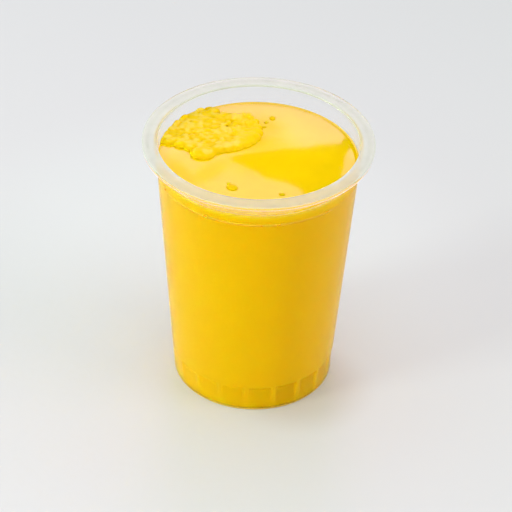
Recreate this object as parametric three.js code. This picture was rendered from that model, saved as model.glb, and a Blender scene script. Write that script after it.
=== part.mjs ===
// A set custard flan in the clear, thin-walled dessert cup that it was poured into.
//
// Units are millimetres and +Z is up. The origin is the centre of the foot that the cup stands on.
// Angles are counted from -Y, the side seen first, towards +X. A raft of froth, left by the pour,
// has set over the back left of the flan.
//
// Both pieces are lathed about Z. Upright ribs with shallow panels between them go round the
// cup's foot, so each piece has two profiles, one through a rib and one through a panel, and the
// lathe's columns are gathered round each rib.
import * as THREE from "three";

// The cup
const CUP_HEIGHT = 114.7;
const RIM_RADIUS = 47.5;
const WALL_THICKNESS = 0.6;
const WALL_RADIUS_AT_RIM = 42.2;
const WALL_RADIUS_AT_LEDGE = 34.35;

// The rim: a flat sealing flange with a short lip turned down round its edge
const FLANGE_THICKNESS = 0.8;
const LIP_HEIGHT = 1.8;
const LIP_THICKNESS = 0.8;
const RIM_EDGE_RADIUS = 0.4;
const MOUTH_ROUNDING = 0.9;

// The moulded ring just under the fill level, and the slightly wider collar above it
const RING_HEIGHT = 102.0;
const RING_HALF_HEIGHT = 0.5;
const RING_PROUD = 0.4;
const COLLAR_PROUD = 0.22;

// The foot: upright ribs between shallow panels, a rounded edge and a raised middle
const RIB_COUNT = 19;
const FIRST_RIB_DEGREES = -3.3;
const RIB_HALF_WIDTH_DEGREES = 1.5;
const RIB_FLANK_DEGREES = 1.0;
const LEDGE_HEIGHT = 12.55;
const LEDGE_SLANT = 0.5;
const PANEL_RADIUS_TOP = 33.5;
const PANEL_RADIUS_BOTTOM = 33.25;
const PANEL_BOTTOM_HEIGHT = 2.5;
const FOOT_EDGE_RADIUS = 1.2;
const FOOT_RING_WIDTH = 4.0;
const FOOT_STEP_WIDTH = 1.2;
const BASE_RISE = 1.0;

// The flan, which climbs the cup's wall a little at its edge
const FILL_LEVEL = 106.0;
const MENISCUS_RISE = 0.5;
const MENISCUS_WIDTH = 2.4;
const CLEARANCE = 0.3;
const RIB_FILL = 0.5; // the share of a rib's depth that the flan reaches into from behind

// The froth raft: a lobed patch with a gently uneven top
const FROTH_CENTRE = new THREE.Vector2(-19.5, 18.5);
const FROTH_RADIUS = 19.0;
const FROTH_LOBES = 3;
const FROTH_LOBE_DEPTH = 1.6;
const FROTH_HEIGHT = 1.1;
const FROTH_EDGE_WIDTH = 3.0;
const FROTH_BUMP_HEIGHT = 0.3;
const FROTH_BUMP_PITCH = 8.0;

// How finely round stretches are divided
const COLUMNS_PER_RIB = 5;
const CORNER_STEPS = 2;
const TOP_RING_SPACING = 5.0;

const CUP_COLOUR = 0xf2f1ea;
const CUP_OPACITY = 0.35;
const CUP_ROUGHNESS = 0.2;
const FLAN_COLOUR = 0xf0bd10;
const FLAN_ROUGHNESS = 0.25;

// Outer radius of the plain tapered wall at height z.
function wallRadius(z) {
  const slope = (WALL_RADIUS_AT_RIM - WALL_RADIUS_AT_LEDGE) / (CUP_HEIGHT - LEDGE_HEIGHT);
  return WALL_RADIUS_AT_LEDGE + slope * (z - LEDGE_HEIGHT);
}

function point(radius, z) {
  return new THREE.Vector2(radius, z);
}

// An arc of the profile, both ends included, with its angles counted from the outward radius.
function arc(centreRadius, centreZ, radius, startDegrees, endDegrees) {
  const points = [];
  for (let i = 0; i <= CORNER_STEPS; i++) {
    const degrees = THREE.MathUtils.lerp(startDegrees, endDegrees, i / CORNER_STEPS);
    const angle = THREE.MathUtils.degToRad(degrees);
    const offset = new THREE.Vector2(Math.cos(angle), Math.sin(angle)).multiplyScalar(radius);
    points.push(point(centreRadius, centreZ).add(offset));
  }
  return points;
}

// The foot, from the axis out to the ledge. An inset of 0 is the cup's outer skin, and a larger
// one is the same form that much further in: the cup's inner skin, or the side of the flan. Its
// rib share is 0 through a panel and 1 through a whole rib.
function footProfile(inset, ribShare) {
  const edgeCentre = PANEL_RADIUS_BOTTOM - FOOT_EDGE_RADIUS;
  const ringInside = edgeCentre - FOOT_RING_WIDTH;
  const panelTop = LEDGE_HEIGHT - LEDGE_SLANT;
  const radiusUnderLedge = THREE.MathUtils.lerp(
    PANEL_RADIUS_TOP,
    wallRadius(panelTop),
    ribShare,
  );
  return [
    point(0, BASE_RISE + inset),
    point(ringInside - FOOT_STEP_WIDTH, BASE_RISE + inset),
    point(ringInside, inset),
    ...arc(edgeCentre, FOOT_EDGE_RADIUS, FOOT_EDGE_RADIUS - inset, -90, 0),
    point(PANEL_RADIUS_BOTTOM - inset, PANEL_BOTTOM_HEIGHT),
    point(radiusUnderLedge - inset, panelTop + inset),
    point(WALL_RADIUS_AT_LEDGE - inset, LEDGE_HEIGHT + inset),
  ];
}

// The step from the plain wall out to the collar.
function collarStep(inset) {
  const bottom = RING_HEIGHT - RING_HALF_HEIGHT;
  const top = RING_HEIGHT + RING_HALF_HEIGHT;
  return [
    point(wallRadius(bottom) - inset, bottom),
    point(wallRadius(top) + COLLAR_PROUD - inset, top),
  ];
}

// The rim, from the top of the collar's outside round to the inside of the mouth.
function rimProfile() {
  const flangeUnderside = CUP_HEIGHT - FLANGE_THICKNESS;
  const collarTop = flangeUnderside - MOUTH_ROUNDING;
  const collarRadius = wallRadius(collarTop) + COLLAR_PROUD;
  const lipBottom = CUP_HEIGHT - LIP_HEIGHT;
  const lipInside = RIM_RADIUS - LIP_THICKNESS;
  const edgeInside = RIM_RADIUS - RIM_EDGE_RADIUS;
  const mouthCentre = collarRadius - WALL_THICKNESS + MOUTH_ROUNDING;
  return [
    point(collarRadius, collarTop),
    point(collarRadius + MOUTH_ROUNDING, flangeUnderside),
    point(lipInside, flangeUnderside),
    point(lipInside, lipBottom),
    point(edgeInside, lipBottom),
    point(RIM_RADIUS, lipBottom + RIM_EDGE_RADIUS),
    point(RIM_RADIUS, CUP_HEIGHT - RIM_EDGE_RADIUS),
    point(edgeInside, CUP_HEIGHT),
    ...arc(mouthCentre, CUP_HEIGHT - MOUTH_ROUNDING, MOUTH_ROUNDING, 90, 180),
  ];
}

function cupProfile(ribShare) {
  const [ringBottom, ringTop] = collarStep(0);
  const ringCrest = point(wallRadius(RING_HEIGHT) + RING_PROUD, RING_HEIGHT);
  const insideUpwards = [
    ...footProfile(WALL_THICKNESS, ribShare),
    ...collarStep(WALL_THICKNESS),
  ];
  return [
    ...footProfile(0, ribShare),
    ringBottom,
    ringCrest,
    ringTop,
    ...rimProfile(),
    ...insideUpwards.reverse(),
  ];
}

function flanProfile(ribShare) {
  const inset = WALL_THICKNESS + CLEARANCE;
  const contactHeight = FILL_LEVEL + MENISCUS_RISE;
  const contactRadius = wallRadius(contactHeight) + COLLAR_PROUD - inset;
  const levelRadius = contactRadius - MENISCUS_WIDTH;
  const ringCount = Math.ceil(levelRadius / TOP_RING_SPACING);
  const topRings = [];
  for (let ring = ringCount; ring >= 0; ring--) {
    topRings.push(point((levelRadius * ring) / ringCount, FILL_LEVEL));
  }
  return [
    ...footProfile(inset, ribShare * RIB_FILL),
    ...collarStep(inset),
    point(contactRadius, contactHeight),
    ...topRings,
  ];
}

// A rib's columns are the two edges of its top, the foot of one flank, the middle of the next
// panel and the foot of the next rib's near flank.
function columnAngle(column) {
  const pitch = 360 / RIB_COUNT;
  const flankFoot = RIB_HALF_WIDTH_DEGREES + RIB_FLANK_DEGREES;
  const places = [
    -RIB_HALF_WIDTH_DEGREES,
    RIB_HALF_WIDTH_DEGREES,
    flankFoot,
    pitch / 2,
    pitch - flankFoot,
  ];
  const ribAngle = FIRST_RIB_DEGREES + pitch * Math.floor(column / COLUMNS_PER_RIB);
  return THREE.MathUtils.degToRad(ribAngle + places[column % COLUMNS_PER_RIB]);
}

function isOnRib(column) {
  return column % COLUMNS_PER_RIB < 2;
}

// Lathes one profile through the panels and another through the ribs into one closed solid.
function ribbedLathe(makeProfile) {
  const panelProfile = makeProfile(0);
  const ribProfile = makeProfile(1);
  const columns = RIB_COUNT * COLUMNS_PER_RIB;
  const geometry = new THREE.LatheGeometry(panelProfile, columns);
  const position = geometry.getAttribute("position");
  for (let i = 0; i < position.count; i++) {
    const column = Math.floor(i / panelProfile.length) % columns;
    const profile = isOnRib(column) ? ribProfile : panelProfile;
    const { x: radius, y: z } = profile[i % profile.length];
    const angle = columnAngle(column);
    position.setXYZ(i, radius * Math.sin(angle), -radius * Math.cos(angle), z);
  }
  geometry.computeVertexNormals();
  return geometry;
}

// Height of the froth raft above the flan's level at a place on the top.
function frothHeight(x, y) {
  const fromCentre = new THREE.Vector2(x, y).sub(FROTH_CENTRE);
  const lobes = FROTH_LOBE_DEPTH * Math.sin(FROTH_LOBES * fromCentre.angle());
  const insideEdge = FROTH_RADIUS + lobes - fromCentre.length();
  const cover = THREE.MathUtils.smoothstep(insideEdge, 0, FROTH_EDGE_WIDTH);
  const wave = (2 * Math.PI) / FROTH_BUMP_PITCH;
  const bumps = FROTH_BUMP_HEIGHT * Math.sin(wave * x) * Math.sin(wave * y);
  return cover * (FROTH_HEIGHT + bumps);
}

function raiseFroth(geometry) {
  const position = geometry.getAttribute("position");
  for (let i = 0; i < position.count; i++) {
    if (position.getZ(i) >= FILL_LEVEL) {
      const rise = frothHeight(position.getX(i), position.getY(i));
      position.setZ(i, position.getZ(i) + rise);
    }
  }
  geometry.computeVertexNormals();
}

function makeCup() {
  const material = new THREE.MeshStandardMaterial({
    color: CUP_COLOUR,
    opacity: CUP_OPACITY,
    transparent: true,
    roughness: CUP_ROUGHNESS,
    metalness: 0,
  });
  const cup = new THREE.Mesh(ribbedLathe(cupProfile), material);
  cup.name = "cup";
  return cup;
}

function makeFlan() {
  const geometry = ribbedLathe(flanProfile);
  raiseFroth(geometry);
  const material = new THREE.MeshStandardMaterial({
    color: FLAN_COLOUR,
    roughness: FLAN_ROUGHNESS,
    metalness: 0,
  });
  const flan = new THREE.Mesh(geometry, material);
  flan.name = "flan";
  return flan;
}

const flanInCup = new THREE.Group();
flanInCup.add(makeCup(), makeFlan());

export default flanInCup;
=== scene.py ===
"""A set custard flan with a raft of froth on it, in the clear dessert cup that it was poured into.

Sizes are metres, +Z is up and -Y is the side seen first. Angles go from -Y towards +X.
"""
import math
import random

import bmesh
import bpy
from mathutils import Matrix, Vector


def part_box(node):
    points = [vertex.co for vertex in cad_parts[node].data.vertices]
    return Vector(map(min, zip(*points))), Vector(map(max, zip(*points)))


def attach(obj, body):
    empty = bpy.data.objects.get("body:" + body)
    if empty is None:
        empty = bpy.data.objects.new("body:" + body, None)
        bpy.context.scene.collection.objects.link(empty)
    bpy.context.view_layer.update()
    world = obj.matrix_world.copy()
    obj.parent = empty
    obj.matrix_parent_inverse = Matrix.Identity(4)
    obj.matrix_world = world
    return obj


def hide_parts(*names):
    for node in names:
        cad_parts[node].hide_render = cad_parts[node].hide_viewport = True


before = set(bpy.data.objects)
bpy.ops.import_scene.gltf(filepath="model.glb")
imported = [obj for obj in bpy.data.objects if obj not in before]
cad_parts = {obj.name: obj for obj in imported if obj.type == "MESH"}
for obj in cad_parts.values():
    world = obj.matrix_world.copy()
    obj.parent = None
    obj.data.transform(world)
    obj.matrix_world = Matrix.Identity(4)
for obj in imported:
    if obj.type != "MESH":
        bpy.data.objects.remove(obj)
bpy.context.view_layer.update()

bl_info = {
    "name": "Custard flan in a clear cup",
    "version": (1, 0, 0),
    "blender": (4, 5, 0),
    "location": "3D View > Sidebar > Flan",
    "description": "Models a froth-topped custard flan in a ribbed clear dessert cup",
    "category": "Add Mesh",
}

CUP_LOW, CUP_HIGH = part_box("cup")
MM = 0.001


# ---------------------------------------------------------------- sizes and colours


def length(name, description, default):
    """A length in metres that a user can change."""
    return bpy.props.FloatProperty(
        name=name, description=description, default=default, unit="LENGTH", precision=5
    )


def colour(name, description, default):
    """A surface colour that a user can change."""
    return bpy.props.FloatVectorProperty(
        name=name, description=description, default=default, subtype="COLOR", size=3,
        min=0, max=1,
    )


class CupSizes(bpy.types.PropertyGroup):
    """The clear cup's own sizes."""

    height: length("Height", "From the foot to the top of the rim", CUP_HIGH.z)
    rim_radius: length("Rim radius", "Outside of the turned-down lip", CUP_HIGH.x - 0.07 * MM)
    wall: length("Wall", "Thickness of the plastic", 0.7 * MM)
    wall_radius_top: length("Wall radius at rim", "Outside of the wall", 42.15 * MM)
    wall_radius_ledge: length("Wall radius at ledge", "Outside of the wall", 34.6 * MM)
    mouth_radius: length("Mouth radius", "Inside of the rim's inner edge", 41.15 * MM)
    flange: length("Flange", "Thickness of the flat rim", 0.8 * MM)
    lip_height: length("Lip height", "How far the rim's edge turns down", 1.5 * MM)
    ring_height: length("Ring height", "Height of the moulded ring", 102.0 * MM)
    ring_proud: length("Ring proud", "How far the ring stands out", 0.4 * MM)
    collar_proud: length("Collar proud", "How much wider the collar is", 0.22 * MM)
    ledge_height: length("Ledge height", "Top of the ribbed band", 12.55 * MM)
    ledge_slant: length("Ledge slant", "Height that the ledge falls over", 0.5 * MM)
    panel_top: length("Panel radius, top", "Panels just under the ledge", 33.95 * MM)
    panel_bottom: length("Panel radius, bottom", "Panels at the foot", 33.7 * MM)
    band_bottom: length("Band bottom", "Height where the ribs fade out", 2.5 * MM)
    foot_rounding: length("Foot rounding", "Radius of the bottom edge", 0.8 * MM)
    foot_ring: length("Foot ring", "Width of the ring it stands on", 4.0 * MM)
    base_rise: length("Base rise", "How far the base's middle is raised", 1.0 * MM)
    ribs: bpy.props.IntProperty(
        name="Ribs", description="Upright ribs round the foot", default=19, min=3
    )
    first_rib: bpy.props.FloatProperty(
        name="First rib", description="Angle of a rib from the front",
        default=math.radians(-3.3), subtype="ANGLE",
    )


class FlanSizes(bpy.types.PropertyGroup):
    """The custard's own sizes."""

    level: length("Level", "Height of the flat top", 106.2 * MM)
    meniscus: length("Meniscus", "How far the edge climbs the wall", 0.15 * MM)
    meniscus_width: length("Meniscus width", "How far in it flattens out", 0.45 * MM)
    wall_bite: length("Wall bite", "How far the side reaches into the wall", 0.1 * MM)


class FrothSizes(bpy.types.PropertyGroup):
    """The froth raft's own sizes."""

    rise: length("Rise", "Height of the raft's top above the custard", 2.0 * MM)
    smallest: length("Smallest bubble", "Radius", 1.0 * MM)
    largest: length("Largest bubble", "Radius", 2.9 * MM)
    voxel: length("Fusing grain", "How finely the bubbles are fused", 0.22 * MM)
    seed: bpy.props.IntProperty(name="Seed", description="Another froth", default=11)


class Finishes(bpy.types.PropertyGroup):
    """Colours of the materials."""

    custard_side: colour("Custard side", "Egg yellow, seen through the wall", (0.905, 0.535, 0.001))
    custard_top: colour("Custard top", "Egg yellow, bare", (0.98, 0.655, 0.0005))
    # painted light: the side is painted lighter near the top, standing in for light from above that
    # soaks in there
    custard_painted_glow: colour("Custard glow", "Side near the top, lit from above", (1.0, 0.66, 0.002))
    panel_shade: colour("Panel shade", "Darkens the side at the foot's panels", (0.85, 0.83, 0.5))
    # painted shade: this darker yellow at the raft's foot is shade painted on its steep front edge
    froth_painted_shade: colour("Froth, edge", "Wet custard round the raft's foot", (0.87, 0.58, 0.001))
    froth_deep: colour("Froth, dense", "Where there is little air in it", (0.95, 0.63, 0.0015))
    # partly painted reflection: paler where fine bubbles are, and also a painted reflection of the
    # softbox on the raft's top
    froth_airy_and_sheen: colour("Froth, airy", "Where there are fine bubbles in it", (0.97, 0.69, 0.08))
    plastic: colour("Plastic", "Natural clear plastic", (0.995, 0.995, 0.995))
    flange: colour("Flange", "Milky plastic of the rim", (0.65, 0.71, 0.575))
    # painted shade: the floor is painted darker towards the back and right
    floor_far: colour("Far floor", "Floor at the back and right", (0.60, 0.64, 0.62))
    floor_lit: colour("Lit floor", "Floor behind and left of the cup", (0.68, 0.736, 0.716))
    floor_shade: colour("Floor shade", "Dims and warms it by the foot", (0.88, 0.84, 0.78))
    floor: colour("Floor", "Pale studio floor", (0.70, 0.72, 0.715))


# ---------------------------------------------------------------- modelling helpers


def clear_selection():
    """Leaves object mode with nothing selected."""
    if bpy.context.object and bpy.context.object.mode != "OBJECT":
        bpy.ops.object.mode_set(mode="OBJECT")
    bpy.ops.object.select_all(action="DESELECT")


def work_on(piece):
    """Makes a piece the only one selected, and active."""
    clear_selection()
    piece.select_set(True)
    bpy.context.view_layer.objects.active = piece


def select_vertices(piece, wanted):
    """In edit mode, selects the vertices whose place passes a test."""
    bpy.ops.mesh.select_mode(type="VERT")
    bpy.ops.mesh.select_all(action="DESELECT")
    mesh = bmesh.from_edit_mesh(piece.data)
    for vertex in mesh.verts:
        vertex.select = wanted(vertex.co)
    mesh.select_flush(True)
    bmesh.update_edit_mesh(piece.data)


def select_faces(piece, wanted):
    """In edit mode, selects the faces whose middle passes a test."""
    bpy.ops.mesh.select_mode(type="FACE")
    bpy.ops.mesh.select_all(action="DESELECT")
    mesh = bmesh.from_edit_mesh(piece.data)
    for face in mesh.faces:
        face.select = wanted(face.calc_center_median())
    bmesh.update_edit_mesh(piece.data)


def scale_round_axis(factor):
    """Moves what is selected towards or away from the Z axis."""
    bpy.ops.transform.resize(value=(factor, factor, 1), center_override=(0, 0, 0))


def pull_through(rings):
    """Extrudes the selected loop, which is the first ring, through the others in turn.

    Each ring is a radius and a height.
    """
    radius, height = rings[0]
    for next_radius, next_height in rings[1:]:
        move = {"value": (0, 0, next_height - height)}
        bpy.ops.mesh.extrude_region_move(TRANSFORM_OT_translate=move)
        scale_round_axis(next_radius / radius)
        radius, height = next_radius, next_height


def add_modifier(piece, kind, **settings):
    """Adds a modifier with these settings and applies it."""
    modifier = piece.modifiers.new(kind.title(), kind)
    for name, value in settings.items():
        setattr(modifier, name, value)
    bpy.ops.object.modifier_apply(modifier=modifier.name)


def arc(centre_radius, centre_height, radius, start, end, steps):
    """Rings along an arc, both ends included, with angles in degrees from straight out."""
    rings = []
    for step in range(steps + 1):
        angle = math.radians(start + (end - start) * step / steps)
        out, up = radius * math.cos(angle), radius * math.sin(angle)
        rings.append((centre_radius + out, centre_height + up))
    return rings


def blend_between(start, end, share):
    """The value that lies that share of the way from start to end."""
    return start + (end - start) * share


def angle_from_front(place):
    """Angle of a place round the Z axis, from -Y towards +X."""
    return math.atan2(place.x, -place.y)


def give_faces(piece, material, wanted):
    """In edit mode, gives a further material to the faces whose middle passes a test."""
    piece.data.materials.append(material)
    select_faces(piece, wanted)
    piece.active_material_index = len(piece.data.materials) - 1
    bpy.ops.object.material_slot_assign()


def finish_piece(piece, slot, *nodes):
    """Smooths a piece, says which body it rides on and hides the parts that it stands for; the slot
    is not used.
    """
    work_on(piece)
    bpy.ops.object.shade_smooth()
    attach(piece, "root")
    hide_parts(*nodes)


# ---------------------------------------------------------------- the cup's form

# where the columns of vertices stand on one side of a rib's middle, and where its flank lies
COLUMN_DEGREES = (0.7, 1.6, 2.7, 4.4, 6.5, 8.6)
RIB_FLANK_DEGREES = COLUMN_DEGREES[1:3]
# rings of the ribbed band, from its bottom to its top, closer together under the ledge
BAND_SHARES = (0.0, 0.18, 0.4, 0.65, 0.85, 0.96, 1.0)
# the moulded ring's outline: height from its middle in mm, and how far out as a share
BEAD_SHAPE = ((-0.75, 0.0), (-0.45, 0.15), (-0.15, 1.0), (0.15, 1.0), (0.45, 0.62), (0.75, 0.55))
# how far below the rim the mouth's taper ends, and where the collar's plain stretch ends
THROAT_DEPTH = 2.4 * MM
COLLAR_END_DEPTH = 3.0 * MM


def wall_radius(cup, height):
    """Outside radius of the plain tapered wall at a height."""
    slope = (cup.wall_radius_top - cup.wall_radius_ledge) / (cup.height - cup.ledge_height)
    return cup.wall_radius_ledge + slope * (height - cup.ledge_height)


def ledge_foot(cup):
    """Height of the ledge's lower edge, where the ribbed band ends."""
    return cup.ledge_height - cup.ledge_slant


def band_share(cup, height):
    """0 at the bottom of the ribbed band, 1 under the ledge."""
    return (height - cup.band_bottom) / (ledge_foot(cup) - cup.band_bottom)


def foot_rings(cup, inset):
    """From the middle of the base out to the bottom of the ribbed band."""
    edge_centre = cup.panel_bottom - cup.foot_rounding
    ring_inside = edge_centre - cup.foot_ring
    rise = cup.base_rise + inset
    return [
        *((radius * MM, rise) for radius in (1.0, 12.0, 22.0)),
        (ring_inside - 1.6 * MM, rise),
        (ring_inside - 1.2 * MM, inset + 0.93 * cup.base_rise),
        (ring_inside - 0.3 * MM, inset + 0.1 * cup.base_rise),
        (ring_inside, inset),
        (ring_inside + 0.5 * MM, inset),
        (edge_centre - 0.4 * MM, inset),
        *arc(edge_centre, cup.foot_rounding, cup.foot_rounding - inset, -90, 0, 6),
    ]


def band_rings(cup, inset):
    """The ribbed band, as it runs through the ribs."""
    rib_top = wall_radius(cup, ledge_foot(cup))
    rings = []
    for share in BAND_SHARES:
        radius = blend_between(cup.panel_bottom, rib_top, share)
        rings.append((radius - inset, blend_between(cup.band_bottom, ledge_foot(cup), share)))
    return rings


def wall_rings(cup, inset):
    """The plain wall, from the ledge to under the moulded ring."""
    heights = [cup.ledge_height, cup.ledge_height + 0.35 * MM, cup.ledge_height + 1.5 * MM]
    start, end = heights[-1], cup.ring_height - 1.4 * MM
    heights += [blend_between(start, end, share) for share in (1 / 3, 2 / 3, 1)]
    return [(wall_radius(cup, height) - inset, height) for height in heights]


def bead_rings(cup, inset):
    """The moulded ring round the wall, where the slightly wider collar begins."""
    rings = []
    for offset, share in BEAD_SHAPE:
        height = cup.ring_height + offset * MM
        rings.append((wall_radius(cup, height) + share * cup.ring_proud - inset, height))
    return rings


def collar_rings(cup, inset, top):
    """The collar, from above the moulded ring to a height."""
    start = cup.ring_height + BEAD_SHAPE[-1][0] * MM
    rings = []
    for share in (0.5, 0.9, 1.0):
        height = blend_between(start, top, share)
        rings.append((wall_radius(cup, height) + cup.collar_proud - inset, height))
    return rings


def rim_rings(cup):
    """The rim, from the top of the collar's outside round to the inside of the mouth."""
    underside = cup.height - cup.flange
    fillet = 0.5 * MM
    collar = wall_radius(cup, underside) + cup.collar_proud
    lip_inside = cup.rim_radius - cup.wall
    lip_bottom = cup.height - cup.lip_height
    corner, edge, mouth = 0.25 * MM, 0.4 * MM, 0.3 * MM
    throat = cup.height - THROAT_DEPTH
    inner_wall = wall_radius(cup, throat) + cup.collar_proud - cup.wall
    return [
        *arc(collar + fillet, underside - fillet, fillet, 180, 90, 3),
        (blend_between(collar, lip_inside, 0.45), underside),
        (blend_between(collar, lip_inside, 0.8), underside),
        *arc(lip_inside - corner, underside - corner, corner, 90, 0, 3),
        (lip_inside, lip_bottom + 0.2 * MM),
        (lip_inside + 0.2 * MM, lip_bottom),
        *arc(cup.rim_radius - corner, lip_bottom + corner, corner, -90, 0, 3),
        *arc(cup.rim_radius - edge, cup.height - edge, edge, 0, 90, 4),
        (blend_between(cup.rim_radius, cup.mouth_radius, 0.3), cup.height),
        (blend_between(cup.rim_radius, cup.mouth_radius, 0.75), cup.height),
        *arc(cup.mouth_radius + mouth, cup.height - mouth, mouth, 90, 180, 4),
        (cup.mouth_radius, cup.height - 0.8 * MM),
        (blend_between(cup.mouth_radius, inner_wall, 0.6), cup.height - 1.7 * MM),
        (inner_wall, throat),
    ]


def side_rings(cup, inset, top):
    """The whole outline up to a height on the collar, moved inwards by the inset."""
    return [
        *foot_rings(cup, inset), *band_rings(cup, inset), *wall_rings(cup, inset),
        *bead_rings(cup, inset), *collar_rings(cup, inset, top),
    ]


def pull_up(cup, rings, insets):
    """Models a ribbed form from the ring at the middle of its base through all the others.

    The insets are those of its skins, one for each time that the rings pass the ribbed band. It
    is left open at both ends, in edit mode, with the last ring selected.
    """
    columns = cup.ribs * len(COLUMN_DEGREES) * 2
    clear_selection()
    bpy.ops.mesh.primitive_circle_add(
        vertices=columns, radius=rings[0][0], location=(0, 0, rings[0][1]),
        rotation=(0, 0, cup.first_rib + math.pi / columns),
    )
    piece = bpy.context.object
    bpy.ops.object.transform_apply(location=True, rotation=True, scale=True)
    gather_columns(cup, piece, 2 * math.pi / columns)
    bpy.ops.object.mode_set(mode="EDIT")
    bpy.ops.mesh.select_mode(type="VERT")
    bpy.ops.mesh.select_all(action="SELECT")
    pull_through(rings)
    for inset in insets:
        sink_panels(cup, piece, inset)
    select_vertices(piece, lambda place: on_ring(place, rings[-1]))
    return piece


def gather_columns(cup, piece, spacing):
    """Turns the evenly spaced vertices of the first ring to their columns round each rib."""
    for vertex in piece.data.vertices:
        off_rib = angle_off_rib(cup, vertex.co)
        column = int(abs(off_rib) / spacing)
        wanted = math.copysign(math.radians(COLUMN_DEGREES[column]), off_rib)
        vertex.co = Matrix.Rotation(wanted - off_rib, 3, "Z") @ vertex.co


def on_ring(place, ring):
    """Whether a place is on a ring, given as a radius and a height."""
    radius, height = ring
    return abs(place.z - height) < 0.01 * MM and abs(place.xy.length - radius) < 0.1 * MM


def angle_off_rib(cup, place):
    """Angle of a place from the middle of the nearest rib."""
    pitch = 2 * math.pi / cup.ribs
    return (angle_from_front(place) - cup.first_rib + pitch / 2) % pitch - pitch / 2


def rib_half_width():
    """Half of the angle that a rib takes up, at the middle of its flanks."""
    return math.radians(sum(RIB_FLANK_DEGREES) / 2)


def sink_panels(cup, piece, inset):
    """Draws the panels inwards, ring by ring, and leaves the ribs between them standing."""
    for rib_radius, height in band_rings(cup, inset)[1:]:
        panel = blend_between(cup.panel_bottom, cup.panel_top, band_share(cup, height)) - inset

        def in_panel(place, ring=(rib_radius, height)):
            return on_ring(place, ring) and abs(angle_off_rib(cup, place)) > rib_half_width()

        select_vertices(piece, in_panel)
        scale_round_axis(panel / rib_radius)


def round_off(piece, *base_rings):
    """Subdivides a form and then closes the small holes in the middle of its base.

    They are closed last, since a pole this dense would pucker when subdivided.
    """
    bpy.ops.object.mode_set(mode="OBJECT")
    add_modifier(piece, "SUBSURF", levels=1, render_levels=1)
    bpy.ops.object.mode_set(mode="EDIT")
    for radius, height in base_rings:

        def round_hole(place, radius=radius, height=height):
            return place.xy.length < radius * 1.05 and abs(place.z - height) < 0.1 * MM

        select_vertices(piece, round_hole)
        bpy.ops.mesh.merge(type="CENTER")
    bpy.ops.mesh.select_all(action="SELECT")
    bpy.ops.mesh.normals_make_consistent(inside=False)


class FLAN_OT_make_cup(bpy.types.Operator):
    """Models the clear cup: ribbed foot, tapered wall, moulded ring and flanged rim"""

    bl_idname = "flan.make_cup"
    bl_label = "Make the cup"

    def execute(self, context):
        cup, flan = context.scene.cup_sizes, context.scene.flan_sizes
        collar_end = cup.height - COLLAR_END_DEPTH
        outside = side_rings(cup, 0, collar_end - MM)
        inside = side_rings(cup, cup.wall, collar_end)
        rings = [*outside, *rim_rings(cup), *reversed(inside)]
        shell = pull_up(cup, rings, (0, cup.wall))
        shell.name = "cup_shell"
        round_off(shell, rings[0], rings[-1])
        contact = flan.level + flan.meniscus
        milky = cup.height - cup.flange
        lip = cup.rim_radius - 0.1 * MM
        foot_edge = 0.9 * MM
        shell.data.materials.append(wall_plastic())
        # the ring's faces get a painted highlight
        give_faces(shell, ring_highlight_plastic(), lambda mid: abs(mid.z - cup.ring_height) < cup.ring_proud)
        give_faces(shell, collar_plastic(), lambda mid: mid.z > contact)
        give_faces(shell, flange_plastic(), lambda mid: mid.z > milky and mid.xy.length < lip)
        # painted light: the foot's bottom edge is painted yellow
        give_faces(shell, painted_foot_plastic(), lambda mid: mid.z < foot_edge)
        bpy.ops.object.mode_set(mode="OBJECT")
        finish_piece(shell, "clear_plastic", "cup")
        shell.visible_glossy = False
        return {"FINISHED"}


# ---------------------------------------------------------------- the custard


# the top's rings: distances from the wall, then a spacing that goes on halfway to the middle
TOP_RINGS_MM = (0.15, 0.35, 0.6, 0.95, 1.4, 2.0, 2.8, 3.8, 5.0)
TOP_RING_SPACING = 1.1 * MM


def top_rings(flan, edge_radius):
    """From the contact line on the wall down its meniscus and halfway in to the middle."""
    rings = [(edge_radius, flan.level + flan.meniscus)]
    distances = [distance * MM for distance in TOP_RINGS_MM]
    while distances[-1] + TOP_RING_SPACING < edge_radius / 2:
        distances.append(distances[-1] + TOP_RING_SPACING)
    for distance in distances:
        climb = flan.meniscus * math.exp(-distance / flan.meniscus_width)
        rings.append((edge_radius - distance, flan.level + climb))
    return rings


class FLAN_OT_make_custard(bpy.types.Operator):
    """Models the custard that fills the cup, from the inside of its wall to its glossy top"""

    bl_idname = "flan.make_custard"
    bl_label = "Make the custard"

    def execute(self, context):
        cup, flan = context.scene.cup_sizes, context.scene.flan_sizes
        contact = flan.level + flan.meniscus
        inset = cup.wall - flan.wall_bite
        side = side_rings(cup, inset, contact)
        edge = side[-1][0]
        rings = [*side, *top_rings(flan, edge)[1:]]
        custard = pull_up(cup, rings, (inset,))
        custard.name = "flan_custard"
        bpy.ops.mesh.fill_grid()
        round_off(custard, rings[0])
        below_top, inner_edge = flan.level - MM, edge - 0.01 * MM
        custard.data.materials.append(custard_in_cup())
        give_faces(
            custard, custard_top(), lambda mid: mid.z > below_top and mid.xy.length < inner_edge
        )
        bpy.ops.object.mode_set(mode="OBJECT")
        finish_piece(custard, "custard", "flan")
        return {"FINISHED"}


# ---------------------------------------------------------------- the froth

RAFT_OUTLINE_MM = (
    (-39.6, 9.5), (-36.0, 8.8), (-31.0, 7.6), (-27.0, 5.6), (-22.0, 4.2), (-17.0, 6.2),
    (-11.0, 9.2), (-6.5, 12.2), (-3.5, 16.0), (-1.6, 20.5), (-2.2, 25.5), (-3.0, 28.5),
    (-7.0, 30.2), (-14.5, 30.6), (-18.7, 32.4), (-23.0, 33.6), (-28.5, 29.5), (-33.6, 22.3),
    (-38.0, 13.5),
)
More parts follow.
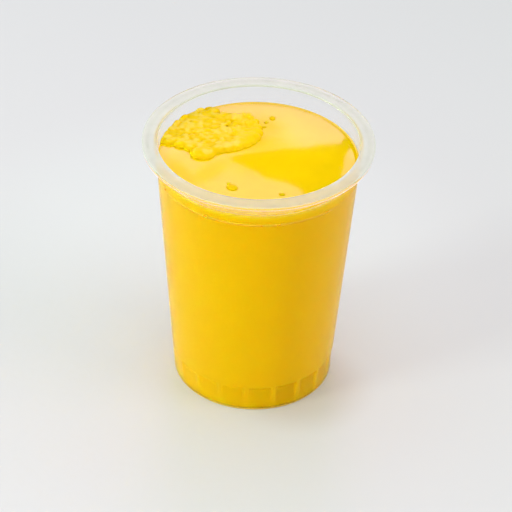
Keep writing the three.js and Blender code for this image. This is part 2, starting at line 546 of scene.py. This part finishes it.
# lumps along the raft's front edge: place, half length, half width, height and turn in degrees
EDGE_LUMPS_MM = (
    (-37.4, 11.2, 2.6, 2.2, 2.2, 20), (-36.4, 8.6, 3.2, 2.0, 1.9, 5),
    (-31.8, 6.9, 3.2, 2.2, 2.0, -8), (-28.0, 5.0, 3.0, 2.4, 1.8, -35),
    (-22.7, 1.2, 5.4, 4.4, 2.4, 5), (-16.6, 4.6, 3.8, 3.4, 1.9, 35),
    (-12.9, 6.2, 3.8, 3.7, 2.0, 25), (-9.5, 7.8, 3.8, 4.0, 2.1, 32),
    (-6.6, 9.8, 3.6, 4.1, 2.2, 38), (-4.4, 12.1, 3.6, 4.1, 2.2, 44),
    (-2.8, 14.6, 3.4, 4.0, 2.2, 55), (-1.5, 17.6, 3.2, 3.4, 2.1, 70),
    (-1.2, 21.2, 2.8, 2.8, 1.8, 85),
)
# froth left on the wall: place, height above the custard, half width and half height
WALL_LUMPS_MM = (
    (-39.5, 9.4, 0.3, 2.4, 1.3), (-38.2, 13.0, 0.6, 2.6, 2.0), (-36.6, 17.0, 0.5, 2.8, 1.7),
    (-34.4, 20.8, 0.8, 3.0, 2.2), (-31.6, 24.9, 0.9, 3.0, 2.1), (-28.4, 28.6, 0.5, 2.8, 1.3),
    (-25.0, 31.6, 0.8, 2.4, 1.7), (-21.6, 34.0, 0.3, 2.4, 1.1),
)
WALL_LUMP_DEPTH_MM = 1.0
# place and radius
LOOSE_BUBBLES_MM = (
    (-10.1, -21.9, 2.0), (-11.6, -19.2, 0.8), (9.9, -25.6, 1.1), (5.4, 29.0, 1.3),
    (2.8, 25.9, 0.9), (2.2, 22.3, 0.8), (-27.0, -1.5, 0.7),
)
# where the raft's bubbles are tried: least and most X and Y
RAFT_REACH_MM = ((-41, 2), (0, 38))
TRIES_PER_BUBBLE = 40
# how close two bubbles' centres may come, as a share of the sum of their radii
CLOSEST = 0.55
# a thick layer of large bubbles and a low one of small bubbles on it. Sizes go from 0, the
# smallest, to 1, the largest, and the heights are shares of the raft's rise.
RAFT_LAYERS = (
    {"wanted": 75, "sizes": (0.4, 1.0), "middle": 0.0, "half_height": 0.85},
    {"wanted": 80, "sizes": (0.0, 0.6), "middle": 0.6, "half_height": 0.35},
)


def inside_outline(x, y, outline):
    """Whether a place lies inside a closed outline."""
    inside = False
    for (x1, y1), (x2, y2) in zip(outline, outline[1:] + outline[:1]):
        if (y1 > y) != (y2 > y) and x < x1 + (y - y1) / (y2 - y1) * (x2 - x1):
            inside = not inside
    return inside


def shaped_lumps(level):
    """Centre, half sizes and turn of the lumps on the raft's front edge and on the wall."""
    lumps = []
    for x, y, half_length, half_width, height, turn in EDGE_LUMPS_MM:
        place = Vector((x * MM, y * MM, level))
        lumps.append((place, Vector((half_length, half_width, height)) * MM, math.radians(turn)))
    for x, y, height, half_width, half_height in WALL_LUMPS_MM:
        place = Vector((x * MM, y * MM, level + height * MM))
        half = Vector((half_width, WALL_LUMP_DEPTH_MM, half_height)) * MM
        lumps.append((place, half, math.atan2(y, x) + math.pi / 2))
    return lumps


def strew_layer(bubbles, layer, froth, level, wall, chance):
    """Adds a layer's bubbles by chance, inside the outline and not too close to the others."""
    outline = tuple((x * MM, y * MM) for x, y in RAFT_OUTLINE_MM)
    reach_x, reach_y = RAFT_REACH_MM
    last = len(bubbles) + layer["wanted"]
    for _ in range(layer["wanted"] * TRIES_PER_BUBBLE):
        if len(bubbles) == last:
            break
        x, y = chance.uniform(*reach_x) * MM, chance.uniform(*reach_y) * MM
        size = blend_between(*layer["sizes"], chance.random() ** 1.5)
        radius = blend_between(froth.smallest, froth.largest, size)
        place = Vector((x, y, level + layer["middle"] * froth.rise))
        near_wall = place.xy.length + radius > wall
        if near_wall or not inside_outline(x, y, outline):
            continue
        if any((place - other).length < CLOSEST * (radius + half.y) for other, half, _ in bubbles):
            continue
        half_height = layer["half_height"] * froth.rise
        half = Vector((chance.uniform(0.9, 1.6) * radius, radius, half_height))
        half.z *= chance.uniform(0.85, 1.15)
        bubbles.append((place, half, chance.uniform(0, math.pi)))


def raft_bubbles(froth, level, wall):
    """Centre, half sizes and turn of each bubble of the raft."""
    bubbles = shaped_lumps(level)
    chance = random.Random(froth.seed)
    for layer in RAFT_LAYERS:
        strew_layer(bubbles, layer, froth, level, wall, chance)
    return bubbles


def copy_bubbles(pattern, bubbles):
    """Copies the modelled bubble to each place and joins the copies into one piece."""
    copies = []
    for place, half_sizes, turn in bubbles:
        copy = bpy.data.objects.new(pattern.name, pattern.data.copy())
        stretch = Matrix.Diagonal((*half_sizes, 1))
        copy.data.transform(Matrix.Translation(place) @ Matrix.Rotation(turn, 4, "Z") @ stretch)
        bpy.context.scene.collection.objects.link(copy)
        copies.append(copy)
    bpy.data.objects.remove(pattern)
    clear_selection()
    for copy in copies:
        copy.select_set(True)
    bpy.context.view_layer.objects.active = copies[0]
    bpy.ops.object.join()
    return bpy.context.object


def model_bubble():
    """Models one bubble of radius 1 at the origin."""
    clear_selection()
    bpy.ops.mesh.primitive_ico_sphere_add(subdivisions=3, radius=1.0)
    return bpy.context.object


class FLAN_OT_make_froth(bpy.types.Operator):
    """Models the raft of fused bubbles that floats on the custard"""

    bl_idname = "flan.make_froth"
    bl_label = "Make the froth"

    def execute(self, context):
        cup, flan = context.scene.cup_sizes, context.scene.flan_sizes
        froth = context.scene.froth_sizes
        wall = wall_radius(cup, flan.level) - cup.wall + flan.wall_bite
        bubbles = raft_bubbles(froth, flan.level, wall)
        raft = copy_bubbles(model_bubble(), bubbles)
        raft.name = "froth_raft"
        work_on(raft)
        add_modifier(raft, "REMESH", mode="VOXEL", voxel_size=froth.voxel)
        roughen = bpy.data.textures.new("froth_lumps", "CLOUDS")
        roughen.noise_scale = 2.2 * MM
        add_modifier(raft, "DISPLACE", texture=roughen, strength=0.5 * MM, mid_level=0.5)
        add_modifier(raft, "SMOOTH", factor=0.5, iterations=20)
        raft.data.materials.clear()
        raft.data.materials.append(froth_material())
        finish_piece(raft, "custard", "flan")
        return {"FINISHED"}


class FLAN_OT_make_loose_bubbles(bpy.types.Operator):
    """Models the few single bubbles that sit apart from the raft"""

    bl_idname = "flan.make_loose_bubbles"
    bl_label = "Make the loose bubbles"

    def execute(self, context):
        level = context.scene.flan_sizes.level
        bubbles = []
        for x, y, radius in LOOSE_BUBBLES_MM:
            half_sizes = Vector((1.2, 1.0, 0.55)) * radius * MM
            turn = math.radians(20 * x)
            bubbles.append((Vector((x * MM, y * MM, level)), half_sizes, turn))
        loose = copy_bubbles(model_bubble(), bubbles)
        loose.name = "loose_bubbles"
        loose.data.materials.append(froth_material())
        finish_piece(loose, "custard", "flan")
        return {"FINISHED"}


# ---------------------------------------------------------------- material helpers


def new_material(name):
    """A node material with a Principled shader, and its node tree and shader."""
    material = bpy.data.materials.new(name)
    material.use_nodes = True
    tree = material.node_tree
    return material, tree, tree.nodes["Principled BSDF"]


def set_inputs(node, **values):
    """Sets a node's sockets, whose names have underscores here for their spaces."""
    for name, value in values.items():
        node.inputs[name.replace("_", " ")].default_value = value


def plug(tree, socket, value):
    """Links a socket to another one, or sets it to a value."""
    if isinstance(value, bpy.types.NodeSocket):
        tree.links.new(value, socket)
    else:
        socket.default_value = value


def add_math(tree, operation, *inputs):
    """Adds a math node with these sockets or numbers as its inputs, and returns its output."""
    node = tree.nodes.new("ShaderNodeMath")
    node.operation = operation
    for socket, value in zip(node.inputs, inputs):
        plug(tree, socket, value)
    return node.outputs["Value"]


def add_measure(tree, operation, place, vector):
    """Adds a vector math node that measures a place, and returns the number it puts out."""
    node = tree.nodes.new("ShaderNodeVectorMath")
    node.operation = operation
    plug(tree, node.inputs[0], place)
    plug(tree, node.inputs[1], vector)
    return node.outputs["Value"]


def add_step(tree, value, low, high, kind="SMOOTHSTEP"):
    """Adds a step of a value, smooth by default: 0 at low and 1 at high."""
    node = tree.nodes.new("ShaderNodeMapRange")
    node.interpolation_type = kind
    set_inputs(node, From_Min=low, From_Max=high)
    plug(tree, node.inputs["Value"], value)
    return node.outputs["Result"]


def add_mix(tree, share, first, second, blend="MIX"):
    """Adds a mix of two colours, or of sockets that give them, and returns its output."""
    node = tree.nodes.new("ShaderNodeMix")
    node.data_type = "RGBA"
    node.blend_type = blend
    plug(tree, node.inputs["Factor"], share)
    for name, value in (("A", first), ("B", second)):
        is_socket = isinstance(value, bpy.types.NodeSocket)
        plug(tree, node.inputs[name], value if is_socket else (*value, 1))
    return node.outputs["Result"]


def add_place(tree, kind="Object"):
    """Adds the place on a piece, or the direction in the sky, and returns it."""
    return tree.nodes.new("ShaderNodeTexCoord").outputs[kind]


def add_split_place(tree):
    """Adds a node that puts out a place's X, Y and Z apart."""
    split = tree.nodes.new("ShaderNodeSeparateXYZ")
    tree.links.new(add_place(tree), split.inputs["Vector"])
    return split


def add_noise(tree, scale, detail):
    """Adds cloudy noise over the piece, and returns its strength."""
    node = tree.nodes.new("ShaderNodeTexNoise")
    plug(tree, node.inputs["Scale"], scale)
    plug(tree, node.inputs["Detail"], detail)
    plug(tree, node.inputs["Vector"], add_place(tree))
    return node.outputs["Fac"]


def add_round_patch(tree, place, middle, edge, core):
    """Adds a soft round patch: 0 past the edge's radius and 1 within the core's."""
    return add_step(tree, add_measure(tree, "DISTANCE", place, middle), edge, core)


MOTTLE_OUTPUTS = (("Color", "NodeSocketColor"), ("Roughness", "NodeSocketFloat"))
MOTTLE_INPUTS = (*MOTTLE_OUTPUTS, ("Scale", "NodeSocketFloat"), ("Amount", "NodeSocketFloat"))
# noise seldom goes more than a quarter from its middle, so its swing is stretched by this
NOISE_STRETCH = 4.0


def mottle_group():
    """A node group: a faint cloudy change of a colour and of a roughness over the surface.

    Amount is the share by which the colour goes up and down, and the roughness goes twice as far.
    """
    if "mottle" in bpy.data.node_groups:
        return bpy.data.node_groups["mottle"]
    tree = bpy.data.node_groups.new("mottle", "ShaderNodeTree")
    for in_out, sockets in (("INPUT", MOTTLE_INPUTS), ("OUTPUT", MOTTLE_OUTPUTS)):
        for name, kind in sockets:
            tree.interface.new_socket(name=name, in_out=in_out, socket_type=kind)
    given = tree.nodes.new("NodeGroupInput").outputs
    result = tree.nodes.new("NodeGroupOutput").inputs
    clouds = add_noise(tree, given["Scale"], 2.0)
    centred = add_math(tree, "SUBTRACT", clouds, 0.5)
    swing = add_math(tree, "MULTIPLY", centred, given["Amount"])
    tint = tree.nodes.new("ShaderNodeVectorMath")
    tint.operation = "SCALE"
    plug(tree, tint.inputs["Vector"], given["Color"])
    plug(tree, tint.inputs["Scale"], add_math(tree, "MULTIPLY_ADD", swing, NOISE_STRETCH, 1.0))
    plug(tree, result["Color"], tint.outputs["Vector"])
    gloss = add_math(tree, "MULTIPLY_ADD", swing, 2 * NOISE_STRETCH, 1.0)
    plug(tree, result["Roughness"], add_math(tree, "MULTIPLY", given["Roughness"], gloss))
    return tree


def set_mottled(tree, shader, base, roughness, scale, amount):
    """Gives a shader a colour and a roughness that the mottle group makes a little uneven."""
    mottle = tree.nodes.new("ShaderNodeGroup")
    mottle.node_tree = mottle_group()
    set_inputs(mottle, Color=(*base, 1), Roughness=roughness, Scale=scale, Amount=amount)
    plug(tree, shader.inputs["Base Color"], mottle.outputs["Color"])
    plug(tree, shader.inputs["Roughness"], mottle.outputs["Roughness"])


# ---------------------------------------------------------------- the custard's materials


def custard_in_cup():
    """The custard where the cup's wall covers it, so that it has no gloss of its own. Painted light
    makes its side lighter near the top, and painted shade darkens the foot's panels.
    """
    finishes = bpy.context.scene.flan_finishes
    level = bpy.context.scene.flan_sizes.level
    material, tree, shader = new_material("custard_in_cup")
    set_inputs(shader, Roughness=0.9, IOR=1.33, Specular_IOR_Level=0.0)
    set_inputs(shader, Subsurface_Weight=0.5, Subsurface_Scale=0.006)
    set_inputs(shader, Subsurface_Radius=(1.0, 0.5, 0.1))
    place = add_split_place(tree).outputs
    # painted light: the side turns to the lighter colour over its top few millimetres
    near_top = add_step(tree, place["Z"], level - 5.5 * MM, level - 0.5 * MM)
    tone = add_mix(tree, near_top, finishes.custard_side, finishes.custard_painted_glow)
    panels = panel_mask(tree, place)
    shaded = add_mix(tree, panels, tone, finishes.panel_shade, blend="MULTIPLY")
    plug(tree, shader.inputs["Base Color"], shaded)
    return material


def panel_mask(tree, place):
    """1 on the foot's panels, 0 on ribs and above the ledge, and less on the key light's side."""
    cup = bpy.context.scene.cup_sizes
    towards_front = add_math(tree, "MULTIPLY", place["Y"], -1.0)
    angle = add_math(tree, "ARCTAN2", place["X"], towards_front)
    from_first = add_math(tree, "SUBTRACT", angle, cup.first_rib)
    off_rib = add_math(tree, "PINGPONG", from_first, math.pi / cup.ribs)
    off_ribs = add_step(tree, off_rib, *(math.radians(degrees) for degrees in RIB_FLANK_DEGREES))
    above = add_step(tree, place["Z"], ledge_foot(cup) - 0.1 * MM, cup.ledge_height)
    below = add_math(tree, "SUBTRACT", 1.0, above)
    recessed = add_math(tree, "MULTIPLY", off_ribs, below)
    unlit = add_step(tree, place["X"], -0.8 * cup.panel_bottom, 0.5 * cup.panel_bottom)
    return add_math(tree, "MULTIPLY", recessed, unlit)


def custard_top():
    """The glossy set top of the custard."""
    material, tree, shader = new_material("custard_top")
    set_inputs(shader, IOR=1.4, Subsurface_Weight=0.2, Subsurface_Scale=0.003)
    set_inputs(shader, Subsurface_Radius=(1.0, 0.5, 0.1))
    base = bpy.context.scene.flan_finishes.custard_top
    set_mottled(tree, shader, base, roughness=0.03, scale=110.0, amount=0.03)
    return material


def froth_material():
    """The same custard with air in it: deep yellow, painted darker round the raft's foot as painted
    shade.

    Towards the wall its top is pale in patches, partly where fine bubbles are and partly as a
    painted reflection of the softbox. Both froth pieces share the one material.
    """
    if "froth" in bpy.data.materials:
        return bpy.data.materials["froth"]
    finishes = bpy.context.scene.flan_finishes
    level = bpy.context.scene.flan_sizes.level
    material, tree, shader = new_material("froth")
    set_inputs(shader, Roughness=0.3, IOR=1.33, Specular_IOR_Level=0.1)
    set_inputs(shader, Subsurface_Weight=0.5, Subsurface_Scale=0.002)
    set_inputs(shader, Subsurface_Radius=(1.0, 0.6, 0.1))
    place = add_split_place(tree).outputs
    # painted shade: the raft's lowest part is painted darker, and wet holds that painted shade
    above_foot = add_step(tree, place["Z"], level + 1.1 * MM, level + 1.6 * MM)
    wet = add_mix(tree, above_foot, finishes.froth_painted_shade, finishes.froth_deep)
    # partly painted reflection: pale patches on the raft's high top towards the wall
    high = add_step(tree, place["Z"], level + 1.4 * MM, level + 1.8 * MM)
    outer = add_step(tree, place["X"], -4 * MM, -10 * MM)
    patches = add_step(tree, add_noise(tree, 260.0, 1.5), 0.38, 0.58)
    airy = add_math(tree, "MULTIPLY", add_math(tree, "MULTIPLY", high, outer), patches)
    tone = add_mix(tree, airy, wet, finishes.froth_airy_and_sheen)
    plug(tree, shader.inputs["Base Color"], tone)
    return material


# ---------------------------------------------------------------- the cup's materials

# what the wet wall mirrors is tinted by the custard behind it
WET_SHEEN = (1, 0.75, 0.05, 1)


def new_plastic(name, base, roughness, scale, amount, **inputs):
    """A plastic that is mottled a little, with these further inputs of its shader."""
    material, tree, shader = new_material(name)
    set_inputs(shader, **inputs)
    set_mottled(tree, shader, base, roughness, scale, amount)
    return material


def wall_plastic():
    """The wall where custard wets it: clear, with a yellow sheen that is pale at its edges."""
    return new_plastic(
        "clear_wall", (0.995, 0.995, 0.995), roughness=0.28, scale=90.0, amount=0.01,
        IOR=1.2, Transmission_Weight=1.0, Specular_Tint=WET_SHEEN,
    )


def ring_highlight_plastic():
    """The moulded ring: as clear as the wall but a little milky white, a painted highlight along
    the ring.
    """
    return new_plastic(
        "clear_ring", (0.995, 0.975, 0.92), roughness=0.28, scale=200.0, amount=0.02,
        IOR=1.2, Transmission_Weight=0.965, Specular_Tint=WET_SHEEN,
    )


def painted_foot_plastic():
    """The foot's bottom edge, painted with the custard's yellow as painted light that shines
    through the thicker plastic; it also paints over the dark line of shade under the foot.
    """
    return new_plastic(
        "clear_foot", (0.97, 0.72, 0.14), roughness=0.3, scale=200.0, amount=0.04,
        IOR=1.22, Transmission_Weight=0.45,
    )


def collar_plastic():
    """The dry plastic above the custard: clear."""
    base = bpy.context.scene.flan_finishes.plastic
    return new_plastic(
        "clear_collar", base, roughness=0.05, scale=150.0, amount=0.01,
        IOR=1.18, Transmission_Weight=1.0,
    )


def flange_plastic():
    """The plastic of the rim: milky, so that light soaks through it."""
    base = bpy.context.scene.flan_finishes.flange
    return new_plastic(
        "milky_flange", base, roughness=0.2, scale=160.0, amount=0.05,
        IOR=1.3, Transmission_Weight=0.58, Subsurface_Weight=1.0, Subsurface_Scale=0.002,
        Subsurface_Radius=(1.0, 1.0, 0.9),
    )


# ---------------------------------------------------------------- the stage

FLOOR_SIZE = 8.0
# X + Y where the floor's slope of tone begins and ends, a painted fall-off of light that darkens it
# to the back and right
FLOOR_SLOPE = (-0.30, 0.45)
# a round patch's middle, the radius of its edge and that of its core
FLOOR_LIT = ((-0.025, 0.065, 0.0), 0.15, 0.055)
FLOOR_SHADE = ((0.022, -0.018, 0.0), 0.034, 0.012)
# each light's place, target, width and height, power and colour
SOFTBOXES = {
    "key": ((-1.1466, -0.559, 0.247), (0, 0, 0.05), (0.35, 0.35), 10.0, (0.93, 1.04, 1.0)),
    "fill": ((1.25, -0.35, 0.55), (0, 0, 0.05), (0.8, 0.6), 5.2, (1.0, 0.86, 0.93)),
    "back_low": ((0, 0.7, 0.505), (0, 0, 0.505), (0.34, 0.16), 0.42, (1.0, 0.46, 1.0)),
    "back_high": ((0, 0.7, 0.685), (0, 0, 0.685), (0.34, 0.2), 0.335, (1.0, 0.26, 1.0)),
}
# light from all round, and how much it grows towards +X, +Y and +Z
SKY_EVEN = 0.85
SKY_SLOPE = (0.0, -0.05, 0.2)
# the outline of the gap between the two back lights, X and Z at this Y
DARK_CARD_Y = 0.69
DARK_CARD_MM = (
    (-22, 582), (-19, 579.5), (-14, 577.3), (0, 574.5), (10, 572.8), (20, 570.5), (38, 569),
    (45, 566), (61.5, 564.5), (63.5, 559), (68.5, 556), (70, 563), (67.5, 571), (65.3, 579),
    (64.6, 588), (62.8, 598), (57.5, 606), (47.5, 612), (38.2, 615), (35.8, 612), (29.8, 606.5),
    (20, 602), (5, 599), (0, 594), (-10, 588.5), (-19, 585),
)
GREY_PATCH_Y = 0.692
# each patch's middle and half sizes, its turn in degrees and the share of light it takes away
GREY_PATCHES_MM = {
    "grey_left": ((-38.0, 596.0), (26.0, 11.0), -36, 0.6),
    "grey_froth": ((2.0, 560.0), (27.0, 22.0), 0, 0.7),
    "grey_middle": ((4.0, 580.0), (46.0, 24.0), -5, 0.6),
    "grey_tip": ((-4.0, 570.0), (14.0, 11.0), 0, 0.5),
    "grey_wall": ((-59.0, 598.0), (23.0, 10.0), 50, 0.65),
}


def floor_material():
    """Pale floor: a wide slope of tone as painted shade, a painted lit patch round the cup and a
    painted warm shade by its foot.
    """
    finishes = bpy.context.scene.flan_finishes
    material, tree, shader = new_material("pale_floor")
    set_inputs(shader, Roughness=0.35, IOR=1.3)
    place = add_place(tree)
    across = add_measure(tree, "DOT_PRODUCT", place, (1.0, 1.0, 0.0))
    far = add_step(tree, across, *FLOOR_SLOPE, kind="LINEAR")
    slope = add_mix(tree, far, finishes.floor, finishes.floor_far)
    lit = add_mix(tree, add_round_patch(tree, place, *FLOOR_LIT), slope, finishes.floor_lit)
    by_foot = add_round_patch(tree, place, *FLOOR_SHADE)
    tone = add_mix(tree, by_foot, lit, finishes.floor_shade, blend="MULTIPLY")
    plug(tree, shader.inputs["Base Color"], tone)
    return material


def dark_material(name):
    """A matt black that no light comes from, and its node tree and shader."""
    material, tree, shader = new_material(name)
    set_inputs(shader, Roughness=1.0, Specular_IOR_Level=0.0, Base_Color=(0.0, 0.0, 0.0, 1))
    return material, tree, shader


def show_only_mirrored(card):
    """Lets a card be seen only in what glossy things mirror."""
    card.visible_camera = False
    card.visible_diffuse = False
    card.visible_shadow = False
    card.visible_transmission = False


def add_dark_card():
    """A dark wedge behind the cup: the gap between two softboxes that the custard mirrors."""
    clear_selection()
    bpy.ops.mesh.primitive_circle_add(vertices=len(DARK_CARD_MM), radius=0.01, fill_type="NGON")
    card = bpy.context.object
    card.name = "dark_card"
    for vertex, (x, z) in zip(card.data.vertices, DARK_CARD_MM):
        vertex.co = (x * MM, DARK_CARD_Y, z * MM)
    card.data.materials.append(dark_material("dark_card")[0])
    show_only_mirrored(card)
    return card


def add_grey_patch(name, middle_mm, half_sizes_mm, turn, strength):
    """A soft-edged oval behind the cup that dims what the custard mirrors there."""
    clear_selection()
    bpy.ops.mesh.primitive_plane_add(size=2.0)
    patch = bpy.context.object
    patch.name = name
    half_x, half_z = (half * MM for half in half_sizes_mm)
    middle = Vector((middle_mm[0] * MM, GREY_PATCH_Y, middle_mm[1] * MM))
    tilt = Matrix.Rotation(-math.radians(turn), 4, "Y") @ Matrix.Rotation(math.pi / 2, 4, "X")
    spread = Matrix.Translation(middle) @ tilt @ Matrix.Diagonal((half_x, half_z, 1, 1))
    patch.data.transform(spread)
    material, tree, shader = dark_material(name)
    oval = add_round_patch(tree, add_place(tree, "UV"), (0.5, 0.5, 0), edge=0.5, core=0.15)
    plug(tree, shader.inputs["Alpha"], add_math(tree, "MULTIPLY", oval, strength))
    patch.data.materials.append(material)
    show_only_mirrored(patch)
    return patch


def set_world(scene):
    """Pale light from all round, stronger from above and a little stronger from the front."""
    world = bpy.data.worlds.new("studio")
    world.use_nodes = True
    tree = world.node_tree
    background = tree.nodes["Background"]
    set_inputs(background, Color=(1, 1, 1, 1))
    slope = add_measure(tree, "DOT_PRODUCT", add_place(tree, "Generated"), SKY_SLOPE)
    plug(tree, background.inputs["Strength"], add_math(tree, "ADD", slope, SKY_EVEN))
    scene.world = world


def add_softbox(name, place, target, size, power, tint):
    """A rectangular area light that faces a target."""
    light = bpy.data.lights.new(name, "AREA")
    light.shape = "RECTANGLE"
    light.size, light.size_y = size
    light.energy = power
    light.color = tint
    lamp = bpy.data.objects.new(name, light)
    lamp.location = place
    lamp.rotation_mode = "QUATERNION"
    lamp.rotation_quaternion = (Vector(target) - Vector(place)).to_track_quat("-Z", "Y")
    lamp.visible_camera = False
    bpy.context.scene.collection.objects.link(lamp)


def place_camera(scene):
    """Looks down at the cup from the front, rolled a little, with a long lens."""
    elevation, roll = math.radians(36.825), math.radians(1.703)
    distance = 1.0
    target = Vector((0.25 * MM, 0, 56.1 * MM))
    camera = bpy.data.cameras.new("camera")
    camera.sensor_width, camera.lens = 36.0, 167.7
    seen_from = bpy.data.objects.new("camera", camera)
    back = Vector((0, -math.cos(elevation), math.sin(elevation)))
    turn = Matrix.Rotation(math.pi / 2 - elevation, 4, "X") @ Matrix.Rotation(roll, 4, "Z")
    seen_from.matrix_world = Matrix.Translation(target + back * distance) @ turn
    scene.collection.objects.link(seen_from)
    scene.camera = seen_from


class FLAN_OT_set_stage(bpy.types.Operator):
    """Lays the pale floor and sets the studio lights and the camera"""

    bl_idname = "flan.set_stage"
    bl_label = "Set the stage"

    def execute(self, context):
        scene = context.scene
        scene.view_settings.view_transform = "Standard"
        clear_selection()
        bpy.ops.mesh.primitive_plane_add(size=FLOOR_SIZE, location=(0, 0, 0))
        floor = context.object
        floor.name = "floor"
        floor.data.materials.append(floor_material())
        set_world(scene)
        for name, softbox in SOFTBOXES.items():
            add_softbox(name, *softbox)
        card = add_dark_card()
        patches = [add_grey_patch(name, *patch) for name, patch in GREY_PATCHES_MM.items()]
        place_camera(scene)
        return {"FINISHED"}


# ---------------------------------------------------------------- add-on


class VIEW3D_PT_flan(bpy.types.Panel):
    """Lists the steps that build the flan"""

    bl_label = "Flan"
    bl_space_type = "VIEW_3D"
    bl_region_type = "UI"
    bl_category = "Flan"

    def draw(self, context):
        for step in STEPS:
            self.layout.operator(step.bl_idname)


STEPS = (
    FLAN_OT_make_cup, FLAN_OT_make_custard, FLAN_OT_make_froth, FLAN_OT_make_loose_bubbles,
    FLAN_OT_set_stage,
)
SETTINGS = {
    "cup_sizes": CupSizes,
    "flan_sizes": FlanSizes,
    "froth_sizes": FrothSizes,
    "flan_finishes": Finishes,
}


def register():
    """Registers the settings, the operators and the panel."""
    for name, group in SETTINGS.items():
        bpy.utils.register_class(group)
        setattr(bpy.types.Scene, name, bpy.props.PointerProperty(type=group))
    for made in (*STEPS, VIEW3D_PT_flan):
        bpy.utils.register_class(made)


def unregister():
    """Takes back what register did, in the opposite order."""
    for made in reversed((*STEPS, VIEW3D_PT_flan)):
        bpy.utils.unregister_class(made)
    for name, group in reversed(SETTINGS.items()):
        delattr(bpy.types.Scene, name)
        bpy.utils.unregister_class(group)


def main():
    """Builds the flan step by step."""
    register()
    bpy.ops.flan.make_cup()
    bpy.ops.flan.make_custard()
    bpy.ops.flan.make_froth()
    bpy.ops.flan.make_loose_bubbles()
    bpy.ops.flan.set_stage()


if __name__ == "__main__":
    main()
